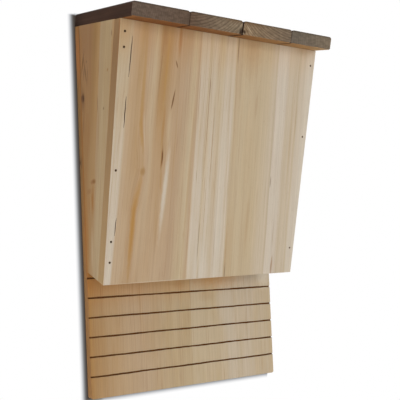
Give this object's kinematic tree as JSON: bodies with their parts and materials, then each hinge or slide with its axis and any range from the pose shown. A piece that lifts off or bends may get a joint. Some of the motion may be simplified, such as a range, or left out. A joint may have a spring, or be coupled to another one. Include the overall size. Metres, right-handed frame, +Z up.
{
  "type": "bat box",
  "caption": "Wall-hung wooden bat box with a leaning front board, a bottom entry slit, a grooved landing board and a dark sloping board roof.",
  "frame": {"origin": "centre of the round part of the hanger plate's keyhole, in the plane of the back board's rear face, which is the wall's plane", "axes": "+Y into the wall, +Z up, +X to the right of a person who faces the front of the box"},
  "size_m": [0.22, 0.1201, 0.3716],
  "materials": {
    "plain_wood": "planed, untreated",
    "stained_wood": "dark brown stain, matt",
    "brad_steel": "dull bare steel",
    "zinc_steel": "zinc plated, satin"
  },
  "bodies": {
    "root": {"back_board_left": "plain_wood", "back_board_right": "plain_wood", "side_board_left": "plain_wood", "side_board_right": "plain_wood", "front_board_left": "plain_wood", "front_board_right": "plain_wood", "roof_board_1": "stained_wood", "roof_board_2": "stained_wood", "roof_board_3": "stained_wood", "roof_board_4": "stained_wood", "front_brads_left": "brad_steel", "front_brads_right": "brad_steel", "back_brads_left": "brad_steel", "back_brads_right": "brad_steel", "roof_brads_back": "brad_steel", "roof_brads_front": "brad_steel", "hanger_plate": "zinc_steel", "hanger_screws": "zinc_steel"}
  },
  "joints": []
}
